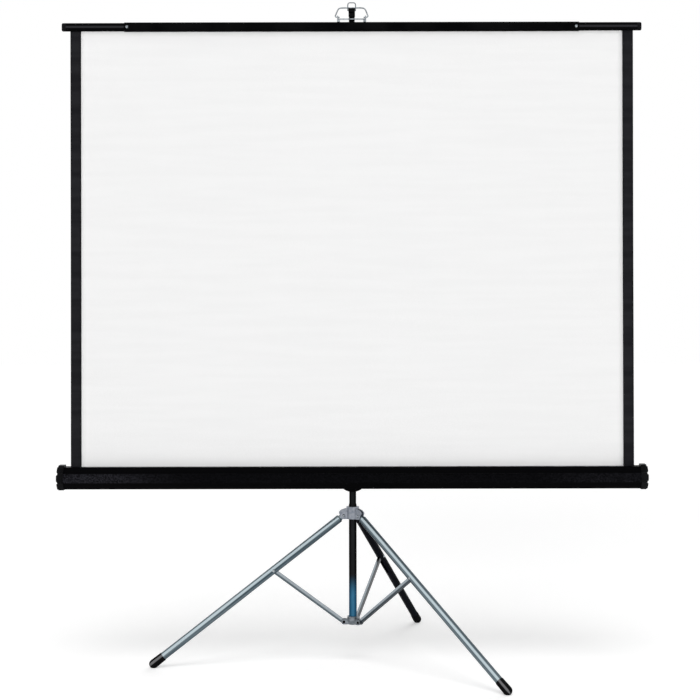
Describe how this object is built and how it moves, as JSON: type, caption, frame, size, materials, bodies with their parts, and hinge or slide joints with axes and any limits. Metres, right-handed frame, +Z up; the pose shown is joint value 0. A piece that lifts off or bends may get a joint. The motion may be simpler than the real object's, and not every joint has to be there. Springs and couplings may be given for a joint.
{
  "type": "tripod projection screen",
  "caption": "Pull-up projection screen with a black roller case on a folding tripod stand, hung by a wire bail from a telescopic mast.",
  "frame": {"origin": "on the floor, in the middle of the box that the object takes up", "axes": "+Z up, +X to the right of a viewer who faces the screen, -Y towards that viewer"},
  "size_m": [1.858, 1.0494, 2.0921],
  "materials": {
    "leg_chrome": "bright chrome plate",
    "bright_plate": "bright nickel plate",
    "silver_casting": "silver painted casting",
    "grey_steel": "plain zinc-plated steel",
    "foot_rubber": "matte moulded rubber",
    "nylon": "plain nylon",
    "white_fabric": "matte white screen coating",
    "black_fabric": "matte black border",
    "hammered_black": "black grained enamel",
    "black_plastic": "moulded black plastic",
    "black_enamel": "semi-gloss black enamel"
  },
  "bodies": {
    "stand": {"lower_post": "black_enamel", "upper_post": "black_enamel", "post_bush": "nylon", "leg_collar": "silver_casting", "leg_pivot_front_right": "bright_plate", "leg_pivot_front_left": "bright_plate", "leg_pivot_rear": "bright_plate"},
    "leg_front_right": {"leg_tube_front_right": "leg_chrome", "leg_foot_front_right": "foot_rubber", "brace_rivet_front_right": "bright_plate"},
    "brace_front_right_body": {"brace_front_right": "leg_chrome"},
    "leg_front_left": {"leg_tube_front_left": "leg_chrome", "leg_foot_front_left": "foot_rubber", "brace_rivet_front_left": "bright_plate"},
    "brace_front_left_body": {"brace_front_left": "leg_chrome"},
    "leg_rear": {"leg_tube_rear": "leg_chrome", "leg_foot_rear": "foot_rubber", "brace_rivet_rear": "bright_plate"},
    "brace_rear_body": {"brace_rear": "leg_chrome"},
    "spreader": {"spreader_hub": "grey_steel", "spreader_tube": "grey_steel", "hub_rivet_front_right": "bright_plate", "hub_rivet_front_left": "bright_plate", "hub_rivet_rear": "bright_plate"},
    "carriage": {"carriage": "black_enamel", "carriage_liner": "nylon", "swivel_disc": "black_enamel", "swivel_bolt": "grey_steel"},
    "carriage_knob": {"carriage_lock_knob": "black_plastic"},
    "mast_knob": {"mast_lock_knob": "black_plastic"},
    "case": {"case_shell": "hammered_black", "case_bracket": "black_enamel", "case_end_cap_left": "black_plastic", "case_end_cap_right": "black_plastic", "screen_fabric": "white_fabric", "fabric_border_left": "black_fabric", "fabric_border_right": "black_fabric"},
    "roller": {"roller_tube": "grey_steel", "fabric_roll": "white_fabric", "roller_pin_left": "black_plastic", "roller_pin_right": "black_plastic"},
    "slat": {"top_slat": "black_enamel", "slat_end_left": "black_enamel", "slat_end_right": "black_enamel", "slat_cap_left": "black_plastic", "slat_cap_right": "black_plastic", "slat_screw_left": "bright_plate", "slat_screw_right": "bright_plate", "bail_bracket": "bright_plate", "bail": "bright_plate"},
    "mast": {"mast_tube": "black_enamel", "mast_glide": "nylon", "mast_head": "black_plastic", "mast_hook": "grey_steel"}
  },
  "joints": [
    {"name": "leg_fold_front_right", "type": "hinge", "parent": "stand", "child": "leg_front_right", "pos_m": [0.02176, -0.09859, 0.463], "axis": [0.6884, 0.7254, 0], "range_deg": [0, 46]},
    {"name": "brace_turn_front_right", "type": "hinge", "parent": "leg_front_right", "child": "brace_front_right_body", "pos_m": [0.18382, -0.25239, 0.2945], "axis": [-0.6884, -0.7254, 0], "range_deg": [0, 92]},
    {"name": "leg_fold_front_left", "type": "hinge", "parent": "stand", "child": "leg_front_left", "pos_m": [-0.02971, -0.08212, 0.463], "axis": [0.1392, -0.9903, 0], "range_deg": [0, 46]},
    {"name": "brace_turn_front_left", "type": "hinge", "parent": "leg_front_left", "child": "brace_front_left_body", "pos_m": [-0.25095, -0.11321, 0.2945], "axis": [-0.1392, 0.9903, 0], "range_deg": [0, 92]},
    {"name": "leg_fold_rear", "type": "hinge", "parent": "stand", "child": "leg_rear", "pos_m": [0.01051, -0.04984, 0.463], "axis": [-0.9367, 0.3502, 0], "range_deg": [0, 46]},
    {"name": "brace_turn_rear", "type": "hinge", "parent": "leg_rear", "child": "brace_rear_body", "pos_m": [0.08875, 0.15943, 0.2945], "axis": [0.9367, -0.3502, 0], "range_deg": [0, 92]},
    {"name": "spreader_turn", "type": "hinge", "parent": "brace_front_right_body", "child": "spreader", "pos_m": [0.02176, -0.09859, 0.126], "axis": [0.6884, 0.7254, 0], "range_deg": [0, 46]},
    {"name": "carriage_slide", "type": "slide", "parent": "stand", "child": "carriage", "axis": [0, 0, 1], "range_m": [-0.03, 0.2]},
    {"name": "carriage_knob_turn", "type": "hinge", "parent": "carriage", "child": "carriage_knob", "pos_m": [0, -0.06204, 0.589], "axis": [0, 1, 0], "continuous": true},
    {"name": "mast_knob_turn", "type": "hinge", "parent": "stand", "child": "mast_knob", "pos_m": [0, -0.06384, 1.374], "axis": [0, 1, 0], "continuous": true},
    {"name": "case_swivel", "type": "hinge", "parent": "carriage", "child": "case", "pos_m": [0, -0.10114, 0.589], "axis": [0, 1, 0], "range_deg": [0, 30]},
    {"name": "screen_draw", "type": "slide", "parent": "case", "child": "slat", "axis": [0, 0, 1], "range_m": [-0.6, 0], "deforming": ["screen_fabric", "fabric_border_left", "fabric_border_right"]},
    {"name": "mast_slide", "type": "slide", "parent": "carriage", "child": "mast", "axis": [0, 0, 1], "range_m": [-0.6, 0]},
    {"name": "roller_spin", "type": "hinge", "parent": "case", "child": "roller", "pos_m": [0, -0.13714, 0.589], "axis": [1, 0, 0], "continuous": true}
  ],
  "couplings": [
    {"joint": "brace_turn_front_right", "follows": "leg_fold_front_right", "ratio": 2},
    {"joint": "leg_fold_front_left", "follows": "leg_fold_front_right", "ratio": 1},
    {"joint": "brace_turn_front_left", "follows": "leg_fold_front_right", "ratio": 2},
    {"joint": "leg_fold_rear", "follows": "leg_fold_front_right", "ratio": 1},
    {"joint": "brace_turn_rear", "follows": "leg_fold_front_right", "ratio": 2},
    {"joint": "spreader_turn", "follows": "leg_fold_front_right", "ratio": 1},
    {"joint": "mast_slide", "follows": "screen_draw", "ratio": 1},
    {"joint": "roller_spin", "follows": "screen_draw", "rad_per_m": 55.556}
  ]
}
